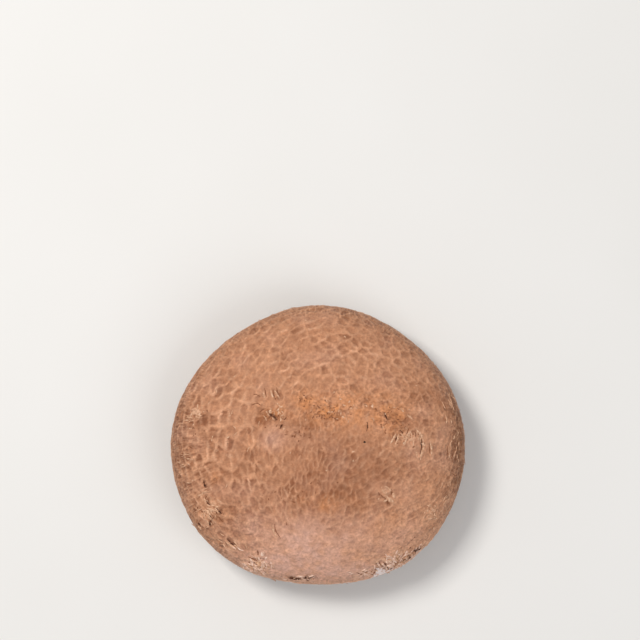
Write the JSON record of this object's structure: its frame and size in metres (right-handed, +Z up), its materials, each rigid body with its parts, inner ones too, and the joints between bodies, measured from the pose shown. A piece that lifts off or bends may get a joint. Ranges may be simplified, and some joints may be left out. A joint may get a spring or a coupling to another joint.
{
  "type": "portobello mushroom",
  "caption": "Whole large brown mushroom with a broad scaly dome cap, rolled margin, dark radial gills and a short stout stem, standing on the stem's cut end.",
  "frame": {"origin": "centre of the stem's cut end, on the plane the mushroom stands on", "axes": "+Z up through the cap's crown, +X along the cap's long way, +Y across it"},
  "size_m": [0.1124, 0.1068, 0.0425],
  "materials": {
    "cap_skin": "matt tan-brown scaly skin",
    "gill": "dry dark chocolate gills",
    "stem": "matt cream fibrous flesh"
  },
  "bodies": {
    "root": {"cap": "cap_skin", "gills": "gill", "stem": "stem"}
  },
  "joints": []
}
